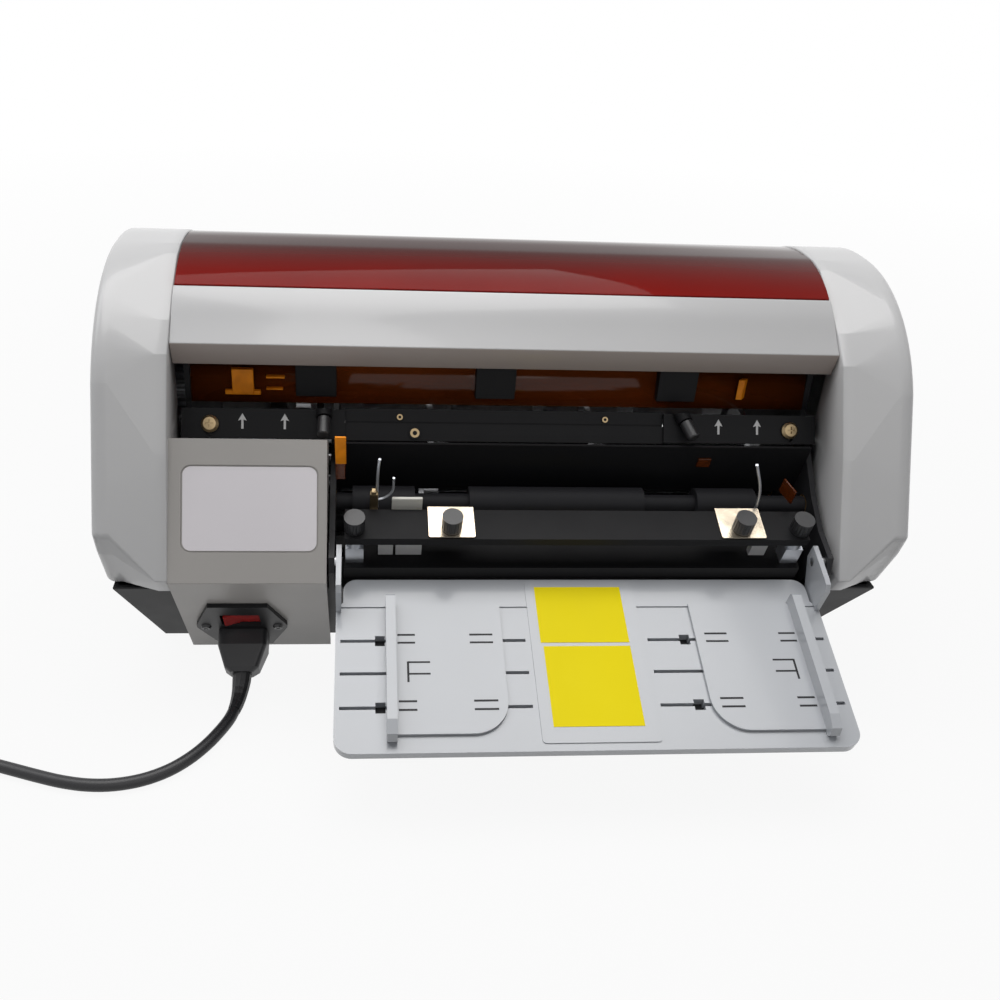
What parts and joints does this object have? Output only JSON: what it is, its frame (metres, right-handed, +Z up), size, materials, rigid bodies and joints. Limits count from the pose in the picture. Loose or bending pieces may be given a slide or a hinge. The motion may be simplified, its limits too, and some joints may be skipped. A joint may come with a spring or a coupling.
{
  "type": "electric business card cutter",
  "caption": "Electric desk cutter for business cards: sloping feed tray with sliding guides, turning disc blades, a second slot above, a tinted lid and a mains lead.",
  "frame": {"origin": "on the table under the middle of the machine, without its mains lead", "axes": "+X to the right along the cutting shafts, +Y to the back, +Z up"},
  "size_m": [0.64, 0.3154, 0.2252],
  "materials": {
    "cover_grey": "satin",
    "panel_grey": "satin",
    "tray_grey": "gloss",
    "base_black": "matte",
    "rubber_black": "matte",
    "lid_red": "gloss, tinted and clear",
    "amber": "gloss, tinted and clear",
    "label_white": "matte film",
    "plate_yellow": "satin film",
    "frame_dark": "satin",
    "bar_black": "satin",
    "screw_brass": "satin",
    "knob_black": "satin",
    "steel": "ground",
    "spring_plate": "bright",
    "zinc": "cast and plated",
    "white_plastic": "satin",
    "roller_rubber": "matte",
    "bronze": "sintered",
    "nylon": "matte",
    "belt_rubber": "matte",
    "motor_steel": "satin",
    "board_green": "satin",
    "inlet_black": "satin",
    "rocker_red": "gloss, clear",
    "lead_black": "satin"
  },
  "bodies": {
    "housing": {"base_chassis": "base_black", "rubber_feet": "rubber_black", "left_side_cover": "cover_grey", "right_side_cover": "cover_grey", "front_top_cover": "cover_grey", "rear_cover": "cover_grey", "lid_hinge_pins": "steel", "front_left_panel": "panel_grey", "label_plate": "label_white", "inner_shield": "amber", "left_side_frame": "frame_dark", "right_side_frame": "frame_dark", "centre_frame": "frame_dark", "tie_rods": "steel", "push_bracket_screws": "screw_brass", "feed_table": "bar_black", "feed_bar": "bar_black", "bar_posts": "zinc", "edge_stops": "white_plastic", "tray_pivot_pins": "steel", "shaft_bearings": "bronze", "drive_belt": "belt_rubber", "drive_motor": "motor_steel", "circuit_board": "board_green", "inlet_module": "inlet_black", "inlet_screws": "steel", "paper_springs": "screw_brass", "shield_blocks": "bar_black", "cord_connector": "lead_black", "cord_relief": "lead_black", "cord_run": "lead_black", "cord_coil": "lead_black", "cord_tie": "rubber_black", "mains_plug": "lead_black"},
    "lid": {"tinted_lid": "lid_red"},
    "tray": {"feed_tray": "tray_grey", "tray_centre_panel": "tray_grey", "tray_plates": "plate_yellow"},
    "left_tray_guide": {"left_tray_guide": "tray_grey"},
    "right_tray_guide": {"right_tray_guide": "tray_grey"},
    "push_bar": {"push_bar": "bar_black", "left_push_bracket": "bar_black", "right_push_bracket": "bar_black"},
    "left_upper_knob": {"left_upper_knob": "knob_black"},
    "right_upper_knob": {"right_upper_knob": "knob_black"},
    "left_bar_knob": {"left_bar_knob": "knob_black"},
    "right_bar_knob": {"right_bar_knob": "knob_black"},
    "left_edge_guide": {"left_edge_guide": "spring_plate"},
    "right_edge_guide": {"right_edge_guide": "spring_plate"},
    "left_guide_knob": {"left_guide_knob": "knob_black"},
    "right_guide_knob": {"right_guide_knob": "knob_black"},
    "rocker": {"rocker_switch": "rocker_red"},
    "slitter_lower": {"slitter_shaft_lower": "steel", "drive_gear": "nylon"},
    "slitter_upper": {"slitter_shaft_upper": "steel"},
    "feed_roller": {"feed_roller": "roller_rubber"},
    "pinch_roller": {"pinch_roller": "roller_rubber"},
    "card_lower": {"card_shaft_lower": "steel"},
    "card_upper": {"card_shaft_upper": "steel"},
    "motor_pinion": {"motor_pinion": "zinc"}
  },
  "joints": [
    {"name": "lid_open", "type": "hinge", "parent": "housing", "child": "lid", "pos_m": [0, 0.093, 0.2145], "axis": [-1, 0, 0], "range_deg": [0, 75]},
    {"name": "tray_fold", "type": "hinge", "parent": "housing", "child": "tray", "pos_m": [0, -0.06569, 0.0912], "axis": [-1, 0, 0], "range_deg": [0, 110]},
    {"name": "left_tray_guide_slide", "type": "slide", "parent": "tray", "child": "left_tray_guide", "axis": [1, 0, 0], "range_m": [-0.022, 0.014]},
    {"name": "right_tray_guide_slide", "type": "slide", "parent": "tray", "child": "right_tray_guide", "axis": [1, 0, 0], "range_m": [-0.027, 0.009]},
    {"name": "push_bar_lift", "type": "slide", "parent": "housing", "child": "push_bar", "axis": [0, 0.5, 0.866], "range_m": [0, 0.004], "stiffness_N_per_m": 300, "springref_m": -0.004},
    {"name": "left_upper_knob_turn", "type": "hinge", "parent": "push_bar", "child": "left_upper_knob", "pos_m": [-0.0995, -0.01373, 0.14961], "axis": [0, -0.8192, -0.5736], "range_deg": [0, 720]},
    {"name": "right_upper_knob_turn", "type": "hinge", "parent": "push_bar", "child": "right_upper_knob", "pos_m": [0.0995, -0.01373, 0.14961], "axis": [0.31, -0.7918, -0.5262], "range_deg": [0, 720]},
    {"name": "left_bar_knob_turn", "type": "hinge", "parent": "housing", "child": "left_bar_knob", "pos_m": [-0.0827, -0.05596, 0.10538], "axis": [0, -0.342, 0.9397], "range_deg": [0, 720]},
    {"name": "right_bar_knob_turn", "type": "hinge", "parent": "housing", "child": "right_bar_knob", "pos_m": [0.159, -0.05596, 0.10538], "axis": [0, -0.342, 0.9397], "range_deg": [0, 720]},
    {"name": "left_edge_guide_slide", "type": "slide", "parent": "housing", "child": "left_edge_guide", "axis": [1, 0, 0], "range_m": [-0.0095, 0.0095]},
    {"name": "right_edge_guide_slide", "type": "slide", "parent": "housing", "child": "right_edge_guide", "axis": [1, 0, 0], "range_m": [-0.0095, 0.0095]},
    {"name": "left_guide_knob_turn", "type": "hinge", "parent": "left_edge_guide", "child": "left_guide_knob", "pos_m": [-0.0315, -0.0563, 0.10632], "axis": [0, -0.342, 0.9397], "range_deg": [0, 720]},
    {"name": "right_guide_knob_turn", "type": "hinge", "parent": "right_edge_guide", "child": "right_guide_knob", "pos_m": [0.1265, -0.0563, 0.10632], "axis": [0, -0.342, 0.9397], "range_deg": [0, 720]},
    {"name": "rocker_tilt", "type": "hinge", "parent": "housing", "child": "rocker", "pos_m": [-0.1455, -0.0466, 0.04675], "axis": [0, -0.549, 0.8358], "range_deg": [-16, 0]},
    {"name": "slitter_lower_turn", "type": "hinge", "parent": "housing", "child": "slitter_lower", "pos_m": [0, 0.02085, 0.09024], "axis": [1, 0, 0], "continuous": true},
    {"name": "slitter_upper_turn", "type": "hinge", "parent": "housing", "child": "slitter_upper", "pos_m": [0, 0.00751, 0.12689], "axis": [1, 0, 0], "continuous": true},
    {"name": "feed_roller_turn", "type": "hinge", "parent": "housing", "child": "feed_roller", "pos_m": [0, -0.01939, 0.08677], "axis": [1, 0, 0], "continuous": true},
    {"name": "pinch_roller_turn", "type": "hinge", "parent": "housing", "child": "pinch_roller", "pos_m": [0, -0.02568, 0.10406], "axis": [1, 0, 0], "continuous": true},
    {"name": "card_lower_turn", "type": "hinge", "parent": "housing", "child": "card_lower", "pos_m": [0, 0.048, 0.1385], "axis": [1, 0, 0], "continuous": true},
    {"name": "card_upper_turn", "type": "hinge", "parent": "housing", "child": "card_upper", "pos_m": [0, 0.048, 0.1775], "axis": [1, 0, 0], "continuous": true},
    {"name": "motor_pinion_turn", "type": "hinge", "parent": "housing", "child": "motor_pinion", "pos_m": [0, 0.06032, 0.07587], "axis": [1, 0, 0], "continuous": true}
  ],
  "couplings": [
    {"joint": "slitter_upper_turn", "follows": "slitter_lower_turn", "ratio": -1},
    {"joint": "feed_roller_turn", "follows": "slitter_lower_turn", "ratio": 1},
    {"joint": "pinch_roller_turn", "follows": "slitter_lower_turn", "ratio": -1},
    {"joint": "card_lower_turn", "follows": "slitter_lower_turn", "ratio": 1},
    {"joint": "card_upper_turn", "follows": "slitter_lower_turn", "ratio": -1},
    {"joint": "motor_pinion_turn", "follows": "slitter_lower_turn", "ratio": -3}
  ]
}
